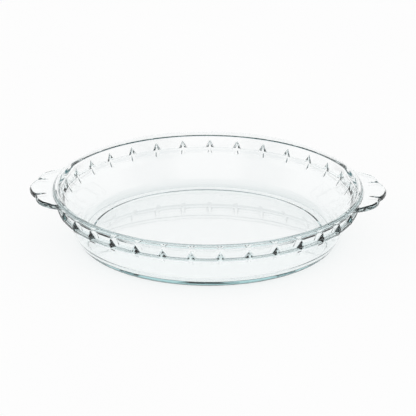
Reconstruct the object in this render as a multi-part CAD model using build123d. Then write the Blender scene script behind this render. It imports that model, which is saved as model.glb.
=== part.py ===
from build123d import *
import os
from math import cos, radians, sin, sqrt, tan

# Round pie dish of pressed clear glass, one piece with its two scalloped handles.
# Millimetres, +Z up. The origin is on the table, at the middle of the foot ring.
# The handles point along +X and -X.

# Main sizes
rim_radius = 117.5
dish_height = 41.0

# Rim
lip_width = 3.8
lip_height = 3.5
lip_softness = 1.2
lip_outer_round = 1.9
lip_inner_round = 2.1
mouth_radius = rim_radius - lip_width
lip_bottom = dish_height - lip_height

# Foot and floor
wall_flare = 19.7
heel_radius = 6.0
foot_width = 9.3
foot_recess = 0.8
foot_slope_run = 1.6
floor_thickness = 3.6
floor_inset = 2.2
floor_corner_radius = 6.0
base_radius = rim_radius - wall_flare
foot_inner_radius = base_radius - foot_width
floor_radius = base_radius - floor_inset
floor_height = foot_recess + floor_thickness

# Inside of the wall: it opens a little more above a soft bend
mouth_flare = 9.5
mouth_flare_height = 16.7
bend_softness = 24.0
bend_radius = mouth_radius - mouth_flare
bend_height = dish_height - mouth_flare_height

# Outside of the wall: a cone, a raised band with a sloping underside, and a nearly upright collar
lip_overhang = 2.6
collar_height = 9.2
collar_flare = 1.3
collar_softness = 0.9
band_proud = 1.0
band_height = 1.3
band_softness = 0.8
band_slope_run = 3.5
band_slope_rise = 2.1
collar_top_radius = rim_radius - lip_overhang
collar_low_radius = collar_top_radius - collar_flare
band_radius = collar_low_radius + band_proud
band_top = lip_bottom - collar_height
band_bottom = band_top - band_height
cone_top_radius = band_radius - band_slope_run
cone_top_height = band_bottom - band_slope_rise

# Every round of the section is made of short flats, each of which turns by about this many degrees
round_step = 40.0

# Diamonds on the band
diamond_count = 33
crown_proud = 0.7
crown_lean = 2.0
crown_width = 2.3
crown_up = 5.2
crown_down = 3.2
crown_end_width = 0.9
root_depth = 2.9
root_lean = 20.0
root_width = 11.6
root_up = 6.2
root_down = 4.6
root_end_width = 0.8

# Handles: three scallops, whose notches and ends lie out from the rim
handle_projection = 17.75
middle_scallop_bulge = 5.25
notch_half_width = 15.9
notch_round = 1.0
side_scallop_bulge = 1.07
side_scallop_drop = 4.4
handle_half_width = 30.2
side_scallop_round = 4.6
flank_angle = 36.0
flank_round = 11.0
handle_drop = 1.5
handle_thickness = 4.1
handle_edge_bevel = 1.2
handle_root_depth = 3.9
handle_tip_reach = rim_radius + handle_projection
notch_reach = handle_tip_reach - middle_scallop_bulge
side_scallop_reach = notch_reach - side_scallop_drop
handle_top = dish_height - handle_drop
handle_bottom = handle_top - handle_thickness

# The underside of a handle rises towards the two ends of its root
fade_start = 33.5
fade_width = 13.0
fade_rise = 2.2

# Grooves that run in from the notches
groove_aim = 64.0
groove_radius = 1.7
groove_length = 9.0
groove_depth = 0.9

# Overrun of every cut past the face that it leaves
overrun = 2.0


def soft_corner(before, corner, after, radius):
    """Points of the short flats that round one corner of an outline, or the sharp corner itself."""
    if not radius:
        return [corner]
    into = (corner - before).normalized()
    out = (after - corner).normalized()
    turn = into.get_signed_angle(out, Vector(0, 0, 1))
    flats = max(1, round(abs(turn) / round_step))
    start = corner - into * radius * tan(radians(abs(turn) / 2))
    spoke = Vector(into.Y, -into.X) * radius * (1 if turn > 0 else -1)
    centre = start - spoke
    return [centre + spoke.rotate(Axis.Z, turn * index / flats) for index in range(flats + 1)]


def wall_profile():
    """Half section of the dish without handles and diamonds, in the XZ plane."""
    corners = [
        ((0, foot_recess), 0),
        ((foot_inner_radius - foot_slope_run, foot_recess), 0),
        ((foot_inner_radius, 0), 0),
        ((base_radius, 0), heel_radius),
        ((cone_top_radius, cone_top_height), 0),
        ((band_radius, band_bottom), band_softness),
        ((band_radius, band_top), band_softness),
        ((collar_low_radius, band_top), 0),
        ((collar_top_radius, lip_bottom), collar_softness),
        ((rim_radius, lip_bottom), lip_softness),
        ((rim_radius, dish_height), lip_outer_round),
        ((mouth_radius, dish_height), lip_inner_round),
        ((bend_radius, bend_height), bend_softness),
        ((floor_radius, floor_height), floor_corner_radius),
        ((0, floor_height), 0),
    ]
    places = [Vector(*point) for point, _ in corners]
    outline = []
    for index, (_, radius) in enumerate(corners):
        outline += soft_corner(places[index - 1], places[index], places[(index + 1) % len(places)], radius)
    return Plane.XZ * make_face(Polyline(*outline, close=True))


def kite(reach, lean, angle, width, up, down, end_width):
    """Corners of a diamond with blunt ends, at a distance from the axis, leaning out at the top."""
    outward = Vector(cos(radians(angle)), sin(radians(angle)), 0)
    sideways = Vector(-sin(radians(angle)), cos(radians(angle)), 0)
    facing = outward * cos(radians(lean)) - Vector(0, 0, sin(radians(lean)))
    plane = Plane(origin=outward * reach + Vector(0, 0, band_top), x_dir=sideways, z_dir=facing)
    right = [(end_width / 2, -down), (width / 2, 0), (end_width / 2, up)]
    left = [(-x, y) for x, y in reversed(right)]
    return [plane.from_local_coords(Vector(x, y, 0)) for x, y in right + left]


def diamond(angle):
    """One boss with steep flat facets round a narrow upright crown, at the given angle round the dish."""
    crown = kite(band_radius + crown_proud, crown_lean, angle, crown_width, crown_up, crown_down, crown_end_width)
    root = kite(band_radius - root_depth, root_lean, angle, root_width, root_up, root_down, root_end_width)
    facets = [crown, root[::-1]]
    for start in (0, 3):
        tip = start + 1
        end = start + 2
        far = (start + 3) % len(crown)
        facets.append([root[start], root[tip], crown[start]])
        facets.append([root[tip], crown[tip], crown[start]])
        facets.append([root[tip], root[end], crown[end]])
        facets.append([root[tip], crown[end], crown[tip]])
        facets.append([root[end], root[far], crown[far], crown[end]])
    return Solid(Shell([Face(Wire.make_polygon(corners, close=True)) for corners in facets]))


def root_blend():
    """Arc that leaves the flank of a handle and runs out on the rim, with its two ends."""
    along = Vector(-cos(radians(flank_angle)), sin(radians(flank_angle)))
    clear = Vector(along.Y, -along.X) * flank_round
    start = Vector(side_scallop_reach, handle_half_width) + clear
    lead = start.dot(along)
    travel = -lead - sqrt(lead**2 + (rim_radius + flank_round) ** 2 - start.dot(start))
    if travel < 0:
        travel = -lead + sqrt(lead**2 + (rim_radius + flank_round) ** 2 - start.dot(start))
    centre = start + along * travel
    on_flank = centre - clear
    on_rim = centre.normalized() * rim_radius
    middle = centre + (on_flank + on_rim - centre * 2).normalized() * flank_round
    return ThreePointArc(on_flank, middle, on_rim), on_flank, on_rim


def handle_outline():
    """Three scallops seen from above, blended into the rim, for the handle on the +X side."""
    tip = (handle_tip_reach, 0)
    notch = (notch_reach, notch_half_width)
    side_end = (side_scallop_reach, handle_half_width)
    blend, on_flank, on_rim = root_blend()
    inner = on_rim - on_rim.normalized() * handle_root_depth
    side = [
        SagittaArc(side_end, notch, side_scallop_bulge),
        Line(side_end, on_flank),
        blend,
        Line(on_rim, inner),
    ]
    far_side = [edge.mirror(Plane.XZ) for edge in side]
    middle = ThreePointArc(notch, tip, (notch_reach, -notch_half_width))
    root = ThreePointArc(inner, (inner.length, 0), (inner.X, -inner.Y))
    plan = make_face([middle, *side, *far_side, root])
    notches = plan.vertices().filter_by(lambda corner: abs(corner.X - notch_reach) < notch_round)
    plan = fillet(notches, notch_round)
    scallop_ends = plan.vertices().filter_by(lambda corner: abs(corner.X - side_scallop_reach) < notch_round)
    return fillet(scallop_ends, side_scallop_round)


def groove(side):
    """Cutter that runs in from a notch and fades out on the top of the handle."""
    mouth = Vector(notch_reach, side * notch_half_width, handle_top + groove_radius - groove_depth)
    inward = Vector(groove_aim - mouth.X, -mouth.Y, 0).normalized() * groove_length
    fade = mouth + inward + Vector(0, 0, groove_depth)
    along = (mouth - fade).normalized()
    length = (mouth - fade).length + 2 * overrun
    section = Plane(origin=fade - along * overrun, z_dir=along) * Circle(groove_radius)
    return extrude(section, length)


def underside_fade(side):
    """Wedge that thins the handle from below where it runs out under the rim."""
    run_in = overrun * fade_width / fade_rise
    wedge = Polyline(
        (side * fade_start, handle_bottom),
        (side * (fade_start + fade_width), handle_bottom + fade_rise),
        (side * (fade_start + fade_width), handle_bottom - overrun),
        (side * (fade_start - run_in), handle_bottom - overrun),
        close=True,
    )
    return extrude(Plane.YZ * make_face(wedge), handle_tip_reach)


def handle():
    """Flat scalloped tab with bevelled edges, for the +X side."""
    plate = Pos(0, 0, handle_bottom) * extrude(handle_outline(), handle_thickness)
    flat_faces = [plate.faces().sort_by(Axis.Z)[0], plate.faces().sort_by(Axis.Z)[-1]]
    flat_edges = [edge for face in flat_faces for edge in face.edges()]
    plate = chamfer([edge for edge in flat_edges if is_outside_rim(edge)], handle_edge_bevel)
    for side in (1, -1):
        plate -= groove(side)
        plate -= underside_fade(side)
    return plate


def is_outside_rim(edge):
    """True when the middle of an edge lies farther out than the rim."""
    middle = edge.center()
    return Vector(middle.X, middle.Y, 0).length > rim_radius


def pie_dish():
    """The whole dish as one solid."""
    body = revolve(wall_profile(), axis=Axis.Z)
    tab = handle()
    step = 360 / diamond_count
    diamonds = [diamond(90 + step * index) for index in range(diamond_count)]
    return body + [tab, mirror(tab, about=Plane.YZ), *diamonds]


os.makedirs("parts", exist_ok=True)
export_step(pie_dish(), "parts/pie_dish.step")
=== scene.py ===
import math

import bpy
import numpy as np
from mathutils import Matrix, Vector


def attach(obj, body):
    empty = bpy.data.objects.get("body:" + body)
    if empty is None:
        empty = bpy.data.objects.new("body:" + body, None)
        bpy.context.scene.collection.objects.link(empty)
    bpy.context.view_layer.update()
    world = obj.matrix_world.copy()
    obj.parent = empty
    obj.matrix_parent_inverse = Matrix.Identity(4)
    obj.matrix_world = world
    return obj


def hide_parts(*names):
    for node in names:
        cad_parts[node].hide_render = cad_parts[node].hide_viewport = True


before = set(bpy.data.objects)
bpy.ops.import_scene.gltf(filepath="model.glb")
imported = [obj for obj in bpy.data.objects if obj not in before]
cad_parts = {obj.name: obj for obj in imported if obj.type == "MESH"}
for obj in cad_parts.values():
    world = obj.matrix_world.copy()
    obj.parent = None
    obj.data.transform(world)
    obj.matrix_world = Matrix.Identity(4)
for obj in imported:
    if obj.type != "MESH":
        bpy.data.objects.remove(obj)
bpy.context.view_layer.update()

# Lengths are in millimetres and scaled to metres where they go into Blender
MILLIMETRE = 0.001

# Main sizes
RIM_RADIUS = 117.5
DISH_HEIGHT = 41.0

# Rim
LIP_WIDTH = 3.8
LIP_HEIGHT = 3.5
LIP_SOFTNESS = 1.2
LIP_OUTER_ROUND = 1.9
LIP_INNER_ROUND = 2.1
MOUTH_RADIUS = RIM_RADIUS - LIP_WIDTH
LIP_BOTTOM = DISH_HEIGHT - LIP_HEIGHT

# Foot and floor
WALL_FLARE = 19.7
HEEL_RADIUS = 6.0
FOOT_WIDTH = 9.3
FOOT_RECESS = 0.8
FOOT_SLOPE_RUN = 1.6
FOOT_SOFTNESS = FOOT_RECESS / 2
FLOOR_THICKNESS = 3.6
FLOOR_INSET = 2.2
FLOOR_CORNER_RADIUS = 9.0
BASE_RADIUS = RIM_RADIUS - WALL_FLARE
FOOT_INNER_RADIUS = BASE_RADIUS - FOOT_WIDTH
FLOOR_RADIUS = BASE_RADIUS - FLOOR_INSET
FLOOR_HEIGHT = FOOT_RECESS + FLOOR_THICKNESS

# Inside of the wall
MOUTH_FLARE = 9.5
MOUTH_FLARE_HEIGHT = 16.7
BEND_SOFTNESS = 24.0
BEND_RADIUS = MOUTH_RADIUS - MOUTH_FLARE
BEND_HEIGHT = DISH_HEIGHT - MOUTH_FLARE_HEIGHT

# Outside of the wall
LIP_OVERHANG = 2.6
COLLAR_HEIGHT = 9.2
COLLAR_FLARE = 2.9
COLLAR_SOFTNESS = 0.9
BAND_PROUD = 2.6
BAND_HEIGHT = 1.3
BAND_SOFTNESS = 0.5
BAND_ROOT_SOFTNESS = BAND_SOFTNESS / 2
BAND_TOP_SLANT = 0.25
BAND_SLOPE_RUN = 3.5
BAND_SLOPE_RISE = 2.1
COLLAR_TOP_RADIUS = RIM_RADIUS - LIP_OVERHANG
COLLAR_LOW_RADIUS = COLLAR_TOP_RADIUS - COLLAR_FLARE
BAND_RADIUS = COLLAR_LOW_RADIUS + BAND_PROUD
BAND_TOP = LIP_BOTTOM - COLLAR_HEIGHT
BAND_BOTTOM = BAND_TOP - BAND_HEIGHT
CONE_TOP_RADIUS = BAND_RADIUS - BAND_SLOPE_RUN
CONE_TOP_HEIGHT = BAND_BOTTOM - BAND_SLOPE_RISE

# Diamonds on the band. A drop is a depth under the crown's face; a tip is a drop and a distance sideways.
DIAMOND_COUNT = 33
CROWN_PROUD = 0.8
CROWN_HALF_WIDTH = 0.95
CROWN_UP = 6.0
CROWN_UP_DROP = 1.3
CROWN_DOWN = 2.4
CROWN_DOWN_DROP = 1.4
CROWN_END_SLOPE = 1.5
UPPER_TIP = (3.6, 3.7)
UPPER_RIDGE_DROP = 0.95
LOWER_TIP = (4.0, 3.8)
LOWER_RIDGE_DOWN = 2.7
LOWER_RIDGE_DROP = 1.0
CROWN_RADIUS = BAND_RADIUS + CROWN_PROUD
EDGE_SOFTNESS = 0.15
VALLEY_SOFTNESS = 0.15

# Handles
HANDLE_PROJECTION = 17.7
MIDDLE_SCALLOP_BULGE = 5.25
NOTCH_HALF_WIDTH = 15.9
NOTCH_SOFTNESS = 0.8
SIDE_SCALLOP_BULGE = 1.07
SIDE_SCALLOP_DROP = 4.4
HANDLE_HALF_WIDTH = 30.2
SCALLOP_END_SOFTNESS = 2.0
FLANK_ANGLE = 36.0
FLANK_SOFTNESS = 1.8
HANDLE_DROP = 1.5
HANDLE_THICKNESS = 4.1
HANDLE_EDGE_ROUND = 1.6
HANDLE_EDGE_ROUND_SHARE = 0.6
HANDLE_TOP = DISH_HEIGHT - HANDLE_DROP
HANDLE_BOTTOM = HANDLE_TOP - HANDLE_THICKNESS
HANDLE_TIP_REACH = RIM_RADIUS + HANDLE_PROJECTION
NOTCH_REACH = HANDLE_TIP_REACH - MIDDLE_SCALLOP_BULGE
SIDE_SCALLOP_REACH = NOTCH_REACH - SIDE_SCALLOP_DROP

# Reach beyond the rim over which its edge turns into the edge of a handle
HANDLE_START = 0.8

# Underside of the handles, which rises towards the two ends of their roots
FADE_START = 33.5
FADE_WIDTH = 13.0
FADE_RISE = 2.2
UNDERSIDE_SOFTNESS = 0.4

# Soft line where the top of a handle meets the rim
MEET_ROUND = 0.3
MEET_ROUND_SHARE = 0.25

# Grooves that run in from the notches. They are cut only beyond a start outside the rim, and their rows begin
# on the round of the handle's edge.
GROOVE_AIM = 64.0
GROOVE_RADIUS = 1.7
GROOVE_LENGTH = 9.0
GROOVE_DEPTH = 0.9
GROOVE_SOFTNESS = 0.3
GROOVE_START = 2.0
GROOVED_EDGE_ROWS = 4

# Columns of the mesh: fine round the rim, handles and diamonds, a third as many on the plain surfaces.
# They gather on the diamonds and at the notches, by an added density over a spread in degrees.
FINE_COLUMNS = 924
COARSE_STEP = 3
GRID_FINENESS = 36
DIAMOND_DENSITY = 4
DIAMOND_SPREAD = 1.9
NOTCH_DENSITY = 3
NOTCH_SPREAD = 0.8

# Rows of the mesh from the lip down over the diamonds: heights at which their spacing changes, each with the
# number of rows from there to the next. They are closest on the upper ends of the crowns and on the band.
LIP_ROW_DROP = 1.0
ROW_MARGIN = 0.7
CROWN_END_SPAN = 2.6
LOWER_ROWS_DEPTH = 4.3
DIAMOND_ROWS_DEPTH = 5.3
DIAMOND_ROWS_TOP = LIP_BOTTOM - LIP_ROW_DROP
CROWN_ROWS_TOP = BAND_TOP + CROWN_UP + ROW_MARGIN
DIAMOND_ROWS_BOTTOM = BAND_TOP - DIAMOND_ROWS_DEPTH
DIAMOND_ROWS = [
    (DIAMOND_ROWS_TOP, 2),
    (CROWN_ROWS_TOP, 7),
    (CROWN_ROWS_TOP - CROWN_END_SPAN, 6),
    (BAND_TOP + ROW_MARGIN, 7),
    (BAND_TOP - ROW_MARGIN, 13),
    (BAND_TOP - LOWER_ROWS_DEPTH, 2),
    (DIAMOND_ROWS_BOTTOM, 1),
]

# High up, these rows bend along the underside of lip and handles, from which the first one keeps a gap
BENT_ROWS_RISE = 2.7
ROWS_BEND_ABOVE = BAND_TOP + BENT_ROWS_RISE
COLLAR_ROW_GAP = 0.1

# Glass: faint waves and haze of pressed glass, with noise scales per metre, and a sea-green body colour
WAVE_SCALE = 35.0
WAVE_HEIGHT = 0.4
WAVE_STRENGTH = 0.08
HAZE_SCALE = 90.0
HAZE_SPAN = (0.3, 0.7)
HAZE_ROUGHNESS = 0.03
GLASS_IOR = 1.5
BODY_COLOUR = (0.3, 0.7, 0.72, 1.0)
BODY_DENSITY = 6.0

# Light that the glass lets through to the floor, less where it is seen edge on
EDGE_ON_START = 0.7
LIGHT_THROUGH = (0.985, 0.985, 0.985, 1.0)
LIGHT_EDGE_ON = (0.7, 0.71, 0.71, 1.0)

# Floor: a sheet of white paper with a faint grain
PAPER_HALF_WIDTH = 3000.0
PAPER_GRAIN_SCALE = 4.0
PAPER_DARK = (0.975, 0.975, 0.975, 1.0)
PAPER_LIGHT = (0.99, 0.99, 0.99, 1.0)

# Surroundings, as directions: the white that glass sees ends over these spans, overhead and at the sides.
# The sides are dark only above the third span.
HEIGHT_FADE = (0.6, 0.8)
SIDE_FADE = (0.3, 0.55)
SIDE_START = (0.45, 0.55)
DARK_COLOUR = (0.01, 0.13, 0.15, 1.0)
WHITE = (1.0, 1.0, 1.0, 1.0)

# Light inside the glass is followed through this many mirrorings
GLOSSY_BOUNCES = 5

# Camera: degrees, millimetres and pixels of the photograph
ELEVATION = 21.8
TURN = 0.7
ROLL = 0.3
PICTURE_SIZE = 416
FOCAL_PIXELS = 3600
SCALE_AT_RIM = 0.758
RIM_CENTRE_PIXEL = (207.95, 186.2)
SENSOR = 36.0
CLIP_END = 20000.0


def smooth_max(a, b, width):
    """The larger of two values, with a soft change between them."""
    blend = np.maximum(width - np.abs(a - b), 0) / width
    return np.maximum(a, b) + blend * blend * width / 4


def smooth_min(a, b, width):
    """The smaller of two values, with a soft change between them."""
    return -smooth_max(-a, -b, width)


def smooth_step(share):
    """Goes softly from 0 to 1 as share does."""
    share = np.clip(share, 0, 1)
    return share * share * (3 - 2 * share)


def from_diamond(angles):
    """Angles round the dish, measured from the middle of the nearest diamond."""
    pitch = 2 * math.pi / DIAMOND_COUNT
    return (angles - math.pi / 2 + pitch / 2) % pitch - pitch / 2


def from_handle(angles):
    """Angles round the dish, measured from the middle of the nearer handle, without sign."""
    return np.abs((angles + math.pi / 2) % math.pi - math.pi / 2)


def conic(start, corner, end, weight, steps):
    """Points on the circle arc that leaves start towards corner and comes to end."""
    points = []
    for share in np.linspace(0, 1, steps + 1):
        parts = ((1 - share) ** 2, 2 * share * (1 - share) * weight, share**2)
        points.append((start * parts[0] + corner * parts[1] + end * parts[2]) / sum(parts))
    return points


def round_corner(before, corner, after, radius, steps):
    """Points of the arc that rounds one corner of an outline."""
    into = (corner - before) / np.linalg.norm(corner - before)
    out = (after - corner) / np.linalg.norm(after - corner)
    turn = math.acos(np.clip(into @ out, -1, 1))
    reach = radius * math.tan(turn / 2)
    return conic(corner - into * reach, corner, corner + out * reach, math.cos(turn / 2), steps)


def straight_rows(start, end, count):
    """Points or rows of points between start and end, without either."""
    return [start + (end - start) * step / (count + 1) for step in range(1, count + 1)]


def rounded_outline(corners):
    """Open outline through (place, radius, arc steps, rows to the next corner)."""
    places = [np.array(place, float) for place, _, _, _ in corners]
    outline = []
    for index, (_, radius, steps, _) in enumerate(corners):
        if radius:
            arc = round_corner(places[index - 1], places[index], places[index + 1], radius, steps)
        else:
            arc = [places[index]]
        if outline:
            rows_before = corners[index - 1][3]
            outline += straight_rows(outline[-1], arc[0], rows_before)
        outline += arc
    return np.array(outline)


def inside_outline():
    """The inside of the dish, from the middle of the floor to the top of the rim."""
    return rounded_outline(
        [
            ((0, FLOOR_HEIGHT), 0, 0, 5),
            ((FLOOR_RADIUS, FLOOR_HEIGHT), FLOOR_CORNER_RADIUS, 10, 4),
            ((BEND_RADIUS, BEND_HEIGHT), BEND_SOFTNESS, 6, 6),
            ((MOUTH_RADIUS, DISH_HEIGHT), LIP_INNER_ROUND, 8, 0),
            ((RIM_RADIUS - LIP_OUTER_ROUND, DISH_HEIGHT), 0, 0, 0),
        ]
    )[:-1]


def underside_outline():
    """The plain cone, the heel and the foot, from the diamonds down to the middle of the underside."""
    return rounded_outline(
        [
            ((cone_radius(DIAMOND_ROWS_BOTTOM), DIAMOND_ROWS_BOTTOM), 0, 0, 5),
            ((BASE_RADIUS, 0), HEEL_RADIUS, 12, 1),
            ((FOOT_INNER_RADIUS, 0), FOOT_SOFTNESS, 4, 0),
            ((FOOT_INNER_RADIUS - FOOT_SLOPE_RUN, FOOT_RECESS), FOOT_SOFTNESS, 4, 4),
            ((0, FOOT_RECESS), 0, 0, 0),
        ]
    )[1:]


def cone_radius(height):
    """Radius of the plain cone below the band."""
    return BASE_RADIUS + (CONE_TOP_RADIUS - BASE_RADIUS) * height / CONE_TOP_HEIGHT


def collar_radius(height):
    """Radius of the collar above the band."""
    return COLLAR_LOW_RADIUS + COLLAR_FLARE * (height - BAND_TOP) / COLLAR_HEIGHT


def wall_radius(height):
    """Radius of the outside of the wall without diamonds."""
    outline = rounded_outline(
        [
            ((cone_radius(0), 0), 0, 0, 0),
            ((CONE_TOP_RADIUS, CONE_TOP_HEIGHT), BAND_SOFTNESS, 6, 0),
            ((BAND_RADIUS, BAND_BOTTOM), BAND_SOFTNESS, 8, 0),
            ((BAND_RADIUS, BAND_TOP), BAND_SOFTNESS, 8, 0),
            ((COLLAR_LOW_RADIUS, BAND_TOP + BAND_TOP_SLANT), BAND_ROOT_SOFTNESS, 6, 0),
            ((collar_radius(DISH_HEIGHT), DISH_HEIGHT), 0, 0, 0),
        ]
    )
    return np.interp(height, outline[:, 1], outline[:, 0])


def diamond_facets():
    """Normal and one point of each facet of half a diamond, as distance from the axis, sideways and up."""

    def spot(drop, side, rise):
        return np.array([CROWN_RADIUS - drop, side, BAND_TOP + rise])

    middle = spot(0, 0, 0)
    corner = spot(0, CROWN_HALF_WIDTH, 0)
    crown_end = spot(CROWN_DOWN_DROP, 0, -CROWN_DOWN)
    sideways = np.array([0, 1, 0])
    upper_crown = np.cross(sideways, spot(CROWN_UP_DROP, 0, CROWN_UP) - middle)
    lower_crown = np.cross(sideways, crown_end - middle)
    end = np.cross(sideways, np.array([CROWN_END_SLOPE, 0, 1]))
    upper_ridge = spot(UPPER_RIDGE_DROP, 0, CROWN_UP)
    upper_side = np.cross(spot(*UPPER_TIP, 0) - corner, upper_ridge - corner)
    lower_ridge = spot(LOWER_RIDGE_DROP, 0, -LOWER_RIDGE_DOWN)
    lower_side = np.cross(spot(*LOWER_TIP, 0) - corner, lower_ridge - corner)
    return [
        (upper_crown, middle),
        (lower_crown, middle),
        (end, crown_end),
        (upper_side, corner),
        (lower_side, corner),
    ]


def diamond_radius(offset, height):
    """Distance from the axis to the surface of a diamond, at angles measured from the diamond's middle."""
    radius = None
    for normal, point in diamond_facets():
        normal = normal * np.sign(normal[0])
        across = normal[0] * np.cos(offset) + normal[1] * np.sin(np.abs(offset))
        reach = (normal @ point - normal[2] * height) / across
        radius = reach if radius is None else smooth_min(radius, reach, EDGE_SOFTNESS)
    return radius


def outer_radius(angles, heights):
    """Radius of the outside of the wall with its diamonds."""
    return smooth_max(wall_radius(heights), diamond_radius(from_diamond(angles), heights), VALLEY_SOFTNESS)


def ray_to_circle(angles, centre, radius):
    """Distance from the axis to the far side of a circle."""
    towards = np.cos(angles) * centre[0] + np.sin(angles) * centre[1]
    reach = radius**2 - centre @ centre + towards**2
    return np.where(reach > 0, towards + np.sqrt(np.maximum(reach, 0)), 0)


def circle_through(start, end, bulge):
    """Centre and radius of the arc from start to end that stands out to the right by bulge."""
    chord = end - start
    length = np.linalg.norm(chord)
    radius = (length**2 / 4 + bulge**2) / (2 * bulge)
    right = np.array([chord[1], -chord[0]]) / length
    return (start + end) / 2 - right * (radius - bulge), radius


def handle_reach(angles):
    """Distance from the axis to the outline of rim and handles."""
    folded = from_handle(angles)
    notch = np.array([NOTCH_REACH, NOTCH_HALF_WIDTH])
    far_notch = np.array([NOTCH_REACH, -NOTCH_HALF_WIDTH])
    end = np.array([SIDE_SCALLOP_REACH, HANDLE_HALF_WIDTH])
    middle = ray_to_circle(folded, *circle_through(far_notch, notch, MIDDLE_SCALLOP_BULGE))
    side = ray_to_circle(folded, *circle_through(notch, end, SIDE_SCALLOP_BULGE))
    along = np.array([-math.cos(math.radians(FLANK_ANGLE)), math.sin(math.radians(FLANK_ANGLE))])
    across = np.cos(folded) * along[1] - np.sin(folded) * along[0]
    flank = (end[0] * along[1] - end[1] * along[0]) / across
    scallops = smooth_max(middle, side, NOTCH_SOFTNESS)
    return smooth_max(smooth_min(scallops, flank, SCALLOP_END_SOFTNESS), RIM_RADIUS, FLANK_SOFTNESS)


def gathering(angles, spread):
    """Bell curve of the density of columns about zero; spread is in degrees."""
    return np.exp(-((angles / math.radians(spread)) ** 2))


def column_angles():
    """Angles of the fine columns, closer together on the diamonds and at the notches of the handles."""
    grid = np.linspace(0, 2 * math.pi, GRID_FINENESS * FINE_COLUMNS + 1)
    notch_angle = math.atan2(NOTCH_HALF_WIDTH, NOTCH_REACH)
    density = 1 + DIAMOND_DENSITY * gathering(from_diamond(grid), DIAMOND_SPREAD)
    density += NOTCH_DENSITY * gathering(from_handle(grid) - notch_angle, NOTCH_SPREAD)
    total = np.concatenate([[0], np.cumsum((density[1:] + density[:-1]) / 2)])
    return np.interp(np.arange(FINE_COLUMNS) / FINE_COLUMNS * total[-1], total, grid)


def underside_height(angles):
    """Height of the underside of lip and handles."""
    width = np.abs(RIM_RADIUS * np.sin(angles))
    handle = HANDLE_BOTTOM + FADE_RISE / FADE_WIDTH * np.maximum(width - FADE_START, 0)
    return smooth_min(handle, LIP_BOTTOM, UNDERSIDE_SOFTNESS)


def collar_end_height(angles):
    """Height just under the round between the collar and the underside of lip and handles."""
    return underside_height(angles) - COLLAR_SOFTNESS - COLLAR_ROW_GAP


def corner_rows(before, corner, after, reach, steps):
    """Rows of points that round a corner in all columns at once."""
    into = (corner - before) / np.linalg.norm(corner - before, axis=0)
    out = (after - corner) / np.linalg.norm(after - corner, axis=0)
    weight = np.sqrt((1 + np.clip((into * out).sum(axis=0), -1, 1)) / 2)
    return conic(corner - into * reach, corner, corner + out * reach, weight, steps)


def groove_height(x, y):
    """Height of the surface in the grooves of the handles' tops."""
    x = np.abs(x)
    y = np.abs(y)
    inward = np.array([GROOVE_AIM - NOTCH_REACH, -NOTCH_HALF_WIDTH])
    inward = inward / np.linalg.norm(inward)
    along = (x - NOTCH_REACH) * inward[0] + (y - NOTCH_HALF_WIDTH) * inward[1]
    across = (x - NOTCH_REACH) * inward[1] - (y - NOTCH_HALF_WIDTH) * inward[0]
    bottom = HANDLE_TOP - GROOVE_DEPTH * (1 - along / GROOVE_LENGTH)
    inside = np.abs(across) < GROOVE_RADIUS
    rise = GROOVE_RADIUS - np.sqrt(np.where(inside, GROOVE_RADIUS**2 - across**2, 0))
    return np.where(inside, bottom + rise, HANDLE_TOP + GROOVE_RADIUS)


def rim_arc(columns):
    """Rows of the arc from the top of the handles over the outer side of the rim to its top."""
    centre = np.array([RIM_RADIUS - LIP_OUTER_ROUND, DISH_HEIGHT - LIP_OUTER_ROUND])
    start = math.asin((HANDLE_TOP - centre[1]) / LIP_OUTER_ROUND)
    points = [
        centre + LIP_OUTER_ROUND * np.array([math.cos(angle), math.sin(angle)])
        for angle in np.linspace(start, math.pi / 2, num=9)
    ]
    return [np.repeat(point[:, None], columns, axis=1) for point in points]


def lip_rows(angles):
    """Rows of (radius, height) from the collar out under lip and handles and up to the top of the rim."""
    reach = handle_reach(angles)
    width = reach - RIM_RADIUS
    on_handle = smooth_step(width / HANDLE_START)
    bottom = underside_height(angles)
    start_height = collar_end_height(angles)
    start = np.array([outer_radius(angles, start_height), start_height])
    collar = np.array([collar_radius(bottom), bottom])
    lower = np.array([reach, bottom])
    lip_start = DISH_HEIGHT - LIP_OUTER_ROUND
    upper = np.array([reach, lip_start + (HANDLE_TOP - lip_start) * on_handle])
    arc = rim_arc(len(angles))
    meet = arc[0]
    top_length = np.linalg.norm(meet - upper, axis=0)
    lower_reach = LIP_SOFTNESS + (HANDLE_EDGE_ROUND - LIP_SOFTNESS) * on_handle
    upper_reach = np.minimum(HANDLE_EDGE_ROUND, HANDLE_EDGE_ROUND_SHARE * top_length)
    meet_reach = np.minimum(MEET_ROUND, MEET_ROUND_SHARE * top_length)
    at_collar = corner_rows(start, collar, lower, COLLAR_SOFTNESS, steps=4)
    at_lower = corner_rows(collar, lower, upper, lower_reach, steps=6)
    at_upper = corner_rows(lower, upper, meet, upper_reach, steps=6)
    at_meet = corner_rows(upper, meet, arc[1], meet_reach, steps=2)
    rows = [start]
    rows += at_collar
    rows += straight_rows(at_collar[-1], at_lower[0], count=4)
    rows += at_lower
    rows += straight_rows(at_lower[-1], at_upper[0], count=1)
    rows += at_upper
    first_grooved = len(rows) - GROOVED_EDGE_ROWS
    rows += straight_rows(at_upper[-1], at_meet[0], count=8)
    rows += at_meet
    for row in rows[first_grooved:]:
        cut = groove_height(row[0] * np.cos(angles), row[0] * np.sin(angles))
        row[1] = np.where(width > GROOVE_START, smooth_min(row[1], cut, GROOVE_SOFTNESS), row[1])
    rows += arc[1:]
    return rows


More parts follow.
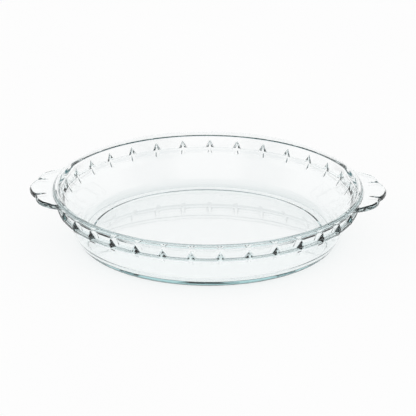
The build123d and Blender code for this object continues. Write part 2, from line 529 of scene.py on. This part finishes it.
def diamond_rows(angles):
    """Rows of (radius, height) of band and diamonds, from just under lip and handles downwards."""
    heights = []
    for (start, count), (end, _) in zip(DIAMOND_ROWS, DIAMOND_ROWS[1:]):
        heights += list(np.linspace(start, end, count, endpoint=False))
    heights.append(DIAMOND_ROWS_BOTTOM)
    top = collar_end_height(angles)
    rows = []
    for height in heights:
        share = max(height - ROWS_BEND_ABOVE, 0) / (DIAMOND_ROWS_TOP - ROWS_BEND_ABOVE)
        level = np.where(height > ROWS_BEND_ABOVE, ROWS_BEND_ABOVE + (top - ROWS_BEND_ABOVE) * share, height)
        rows.append(np.array([outer_radius(angles, level), level]))
    return rows


def ring_points(angles, row):
    """Corners of one ring of the mesh, in metres."""
    height = row[1] + 0 * angles
    return np.stack([row[0] * np.cos(angles), row[0] * np.sin(angles), height], axis=1) * MILLIMETRE


def middle_point(height):
    """Corner of the mesh on the axis, in metres."""
    return np.array([[0, 0, height * MILLIMETRE]])


def dish_mesh():
    """The whole dish as one closed mesh of rings, from the floor over the rim to the underside."""
    fine = column_angles()
    coarse = fine[::COARSE_STEP]
    inside = inside_outline()
    below = underside_outline()
    fine_rows = lip_rows(fine)[::-1] + diamond_rows(fine)[1:]
    places = [middle_point(FLOOR_HEIGHT)]
    places += [ring_points(coarse, point) for point in inside[1:]]
    places += [ring_points(fine, row) for row in fine_rows]
    places += [ring_points(coarse, point) for point in below[:-1]]
    places.append(middle_point(FOOT_RECESS))
    starts = np.cumsum([0] + [len(ring) for ring in places])
    faces = []
    for index in range(len(places) - 1):
        faces += ring_faces(starts[index], len(places[index]), starts[index + 1], len(places[index + 1]))
    mesh = bpy.data.meshes.new("pie_dish_glass")
    mesh.from_pydata(np.concatenate(places).tolist(), [], faces)
    mesh.validate()
    mesh.shade_smooth()
    return mesh


def fine_corners(start, count, column):
    """Corners of a fine ring along one coarse column, with the first corner of the next column."""
    return [start + (COARSE_STEP * column + step) % count for step in range(COARSE_STEP + 1)]


def ring_faces(first, first_count, second, second_count):
    """Faces between two neighbouring rings; one can be a point or have three times the columns."""
    faces = []
    if first_count == second_count:
        for column in range(first_count):
            following = (column + 1) % first_count
            faces.append((first + column, second + column, second + following, first + following))
    elif first_count == 1:
        for column in range(second_count):
            faces.append((first, second + column, second + (column + 1) % second_count))
    elif second_count == 1:
        for column in range(first_count):
            faces.append((first + column, second, first + (column + 1) % first_count))
    elif first_count < second_count:
        for column in range(first_count):
            following = first + (column + 1) % first_count
            a, b, c, d = fine_corners(second, second_count, column)
            faces += [(first + column, a, b), (first + column, b, c, following), (following, c, d)]
    else:
        for column in range(second_count):
            following = second + (column + 1) % second_count
            a, b, c, d = fine_corners(first, first_count, column)
            faces += [(a, second + column, b), (b, second + column, following, c), (c, following, d)]
    return faces


def new_node(tree, kind, place, **inputs):
    """Adds a shader node; inputs are set by name."""
    node = tree.nodes.new(kind)
    node.location = place
    for name, value in inputs.items():
        node.inputs[name.replace("_", " ")].default_value = value
    return node


def math_node(tree, operation, place, first, second=0.0):
    """Adds a math node; each operand is a socket or a number."""
    node = new_node(tree, "ShaderNodeMath", place)
    node.operation = operation
    for index, operand in enumerate((first, second)):
        if isinstance(operand, float):
            node.inputs[index].default_value = operand
        else:
            tree.links.new(operand, node.inputs[index])
    return node.outputs["Value"]


def ramp_node(tree, place, value, low, high, low_position=0.0):
    """Adds a colour ramp from a low to a high colour over a value."""
    node = new_node(tree, "ShaderNodeValToRGB", place)
    node.color_ramp.elements[0].position = low_position
    node.color_ramp.elements[0].color = low
    node.color_ramp.elements[1].color = high
    tree.links.new(value, node.inputs["Fac"])
    return node.outputs["Color"]


def fade_node(tree, place, value, span):
    """Adds a node that goes softly from 1 down to 0 over a span of the value."""
    node = new_node(tree, "ShaderNodeMapRange", place, From_Min=span[0], From_Max=span[1])
    node.interpolation_type = "SMOOTHSTEP"
    node.inputs["To Min"].default_value = 1.0
    node.inputs["To Max"].default_value = 0.0
    tree.links.new(value, node.inputs["Value"])
    return node.outputs["Result"]


def pressed_glass(tree):
    """Clear glass with the faint waviness and haze of pressed glass."""
    link = tree.links.new
    place = new_node(tree, "ShaderNodeTexCoord", (-1200, 0))
    waves = new_node(tree, "ShaderNodeTexNoise", (-1000, 100), Scale=WAVE_SCALE, Detail=1.0, Roughness=0.4)
    link(place.outputs["Object"], waves.inputs["Vector"])
    bump = new_node(tree, "ShaderNodeBump", (-760, 100), Strength=WAVE_STRENGTH)
    bump.inputs["Distance"].default_value = WAVE_HEIGHT * MILLIMETRE
    link(waves.outputs["Fac"], bump.inputs["Height"])
    haze = new_node(tree, "ShaderNodeTexNoise", (-1000, -200), Scale=HAZE_SCALE, Detail=2.0)
    link(place.outputs["Object"], haze.inputs["Vector"])
    roughness = new_node(tree, "ShaderNodeMapRange", (-760, -200))
    roughness.inputs["From Min"].default_value = HAZE_SPAN[0]
    roughness.inputs["From Max"].default_value = HAZE_SPAN[1]
    roughness.inputs["To Min"].default_value = 0.0
    roughness.inputs["To Max"].default_value = HAZE_ROUGHNESS
    link(haze.outputs["Fac"], roughness.inputs["Value"])
    glass = new_node(tree, "ShaderNodeBsdfPrincipled", (-480, 100), Metallic=0.0, IOR=GLASS_IOR)
    glass.inputs["Base Color"].default_value = WHITE
    glass.inputs["Transmission Weight"].default_value = 1.0
    link(roughness.outputs["Result"], glass.inputs["Roughness"])
    link(bump.outputs["Normal"], glass.inputs["Normal"])
    return glass.outputs["BSDF"]


def light_through_glass(tree):
    """What the light meets on its way to the floor: a clear sheet, a little darker edge on."""
    facing = new_node(tree, "ShaderNodeLayerWeight", (-900, -400), Blend=0.5)
    shade = ramp_node(
        tree, (-720, -400), facing.outputs["Facing"], LIGHT_THROUGH, LIGHT_EDGE_ON, low_position=EDGE_ON_START
    )
    clear = new_node(tree, "ShaderNodeBsdfTransparent", (-480, -300))
    tree.links.new(shade, clear.inputs["Color"])
    return clear.outputs["BSDF"]


def glass_material():
    """Pressed glass with a slight sea-green body colour, which lets the light through to the floor."""
    material = bpy.data.materials.new("clear_glass")
    material.use_nodes = True
    tree = material.node_tree
    tree.nodes.clear()
    link = tree.links.new
    path = new_node(tree, "ShaderNodeLightPath", (-480, 500))
    shadow_ray = path.outputs["Is Shadow Ray"]
    soft_light = math_node(tree, "MAXIMUM", (-260, 400), shadow_ray, path.outputs["Is Diffuse Ray"])
    mix = new_node(tree, "ShaderNodeMixShader", (-60, 100))
    link(soft_light, mix.inputs[0])
    link(pressed_glass(tree), mix.inputs[1])
    link(light_through_glass(tree), mix.inputs[2])
    body = new_node(tree, "ShaderNodeVolumeAbsorption", (-60, -200), Density=BODY_DENSITY)
    body.inputs["Color"].default_value = BODY_COLOUR
    output = new_node(tree, "ShaderNodeOutputMaterial", (160, 100))
    link(mix.outputs["Shader"], output.inputs["Surface"])
    link(body.outputs["Volume"], output.inputs["Volume"])
    return material


def floor_material():
    """Matt white paper."""
    material = bpy.data.materials.new("floor_paper")
    material.use_nodes = True
    tree = material.node_tree
    shader = tree.nodes["Principled BSDF"]
    shader.inputs["Roughness"].default_value = 1.0
    shader.inputs["Specular IOR Level"].default_value = 0.0
    place = new_node(tree, "ShaderNodeTexCoord", (-800, 0))
    grain = new_node(tree, "ShaderNodeTexNoise", (-600, 0), Scale=PAPER_GRAIN_SCALE, Detail=2.0)
    tree.links.new(place.outputs["Object"], grain.inputs["Vector"])
    shade = ramp_node(tree, (-400, 0), grain.outputs["Fac"], PAPER_DARK, PAPER_LIGHT)
    tree.links.new(shade, shader.inputs["Base Color"])
    return material


def seen_by_glass(tree):
    """Surroundings that glass mirrors and refracts: white, but dark overhead and high up at both sides."""
    place = new_node(tree, "ShaderNodeTexCoord", (-1100, 0))
    split = new_node(tree, "ShaderNodeSeparateXYZ", (-920, 0))
    tree.links.new(place.outputs["Generated"], split.inputs["Vector"])
    height = split.outputs["Z"]
    overhead = fade_node(tree, (-740, 300), height, HEIGHT_FADE)
    sideways = math_node(tree, "ABSOLUTE", (-920, -200), split.outputs["X"])
    beside = fade_node(tree, (-740, 0), sideways, SIDE_FADE)
    low = fade_node(tree, (-740, -300), height, SIDE_START)
    beside_or_low = math_node(tree, "MAXIMUM", (-560, -100), beside, low)
    level = math_node(tree, "MULTIPLY", (-560, 100), overhead, beside_or_low)
    background = new_node(tree, "ShaderNodeBackground", (-160, 120), Strength=1.0)
    tree.links.new(ramp_node(tree, (-360, 120), level, DARK_COLOUR, WHITE), background.inputs["Color"])
    return background.outputs["Background"]


def world_light():
    """Plain white light and background, with other surroundings for what glass mirrors and refracts."""
    world = bpy.data.worlds.new("studio")
    bpy.context.scene.world = world
    world.use_nodes = True
    tree = world.node_tree
    tree.nodes.clear()
    link = tree.links.new
    plain = new_node(tree, "ShaderNodeBackground", (-160, -120), Strength=1.0)
    plain.inputs["Color"].default_value = WHITE
    path = new_node(tree, "ShaderNodeLightPath", (-360, 400))
    glossy_ray = path.outputs["Is Glossy Ray"]
    from_glass = math_node(tree, "MAXIMUM", (-160, 400), glossy_ray, path.outputs["Is Transmission Ray"])
    mix = new_node(tree, "ShaderNodeMixShader", (60, 0))
    link(from_glass, mix.inputs[0])
    link(plain.outputs["Background"], mix.inputs[1])
    link(seen_by_glass(tree), mix.inputs[2])
    output = new_node(tree, "ShaderNodeOutputWorld", (240, 0))
    link(mix.outputs["Shader"], output.inputs["Surface"])


def floor():
    """A wide sheet of white paper under the dish."""
    half = PAPER_HALF_WIDTH * MILLIMETRE
    mesh = bpy.data.meshes.new("floor_sheet")
    corners = [(-half, -half, 0), (half, -half, 0), (half, half, 0), (-half, half, 0)]
    mesh.from_pydata(corners, [], [(0, 1, 2, 3)])
    sheet = bpy.data.objects.new("floor_sheet", mesh)
    sheet.data.materials.append(floor_material())
    bpy.context.scene.collection.objects.link(sheet)


def add_camera():
    """Camera at the photograph's viewing angle, turned so that the rim's centre falls on its pixel."""
    distance = SCALE_AT_RIM * FOCAL_PIXELS * MILLIMETRE
    rim_centre = Vector((0, 0, DISH_HEIGHT * MILLIMETRE))
    elevation = math.radians(ELEVATION)
    turn = math.radians(TURN)
    away = math.cos(elevation)
    towards = Vector((away * math.sin(turn), -away * math.cos(turn), math.sin(elevation)))
    data = bpy.data.cameras.new("camera")
    data.sensor_width = SENSOR
    data.lens = FOCAL_PIXELS / PICTURE_SIZE * SENSOR
    data.clip_end = CLIP_END * MILLIMETRE
    camera = bpy.data.objects.new("camera", data)
    bpy.context.scene.collection.objects.link(camera)
    level = (-towards).to_track_quat("-Z", "Y").to_matrix().to_4x4()
    right = (RIM_CENTRE_PIXEL[0] - PICTURE_SIZE / 2) / FOCAL_PIXELS
    up = (PICTURE_SIZE / 2 - RIM_CENTRE_PIXEL[1]) / FOCAL_PIXELS
    roll = Matrix.Rotation(math.radians(ROLL), 4, "Z")
    aim = roll @ Matrix.Rotation(right, 4, "Y") @ Matrix.Rotation(-up, 4, "X")
    camera.matrix_world = Matrix.Translation(rim_centre + towards * distance) @ level @ aim
    bpy.context.scene.camera = camera


def picture_settings():
    """Plain colours, as they are written."""
    scene = bpy.context.scene
    scene.view_settings.view_transform = "Standard"
    scene.cycles.glossy_bounces = GLOSSY_BOUNCES


glass = bpy.data.objects.new("pie_dish_glass", dish_mesh())
glass.data.materials.append(glass_material())
bpy.context.scene.collection.objects.link(glass)
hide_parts("pie_dish")
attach(glass, "root")
floor()
world_light()
add_camera()
picture_settings()
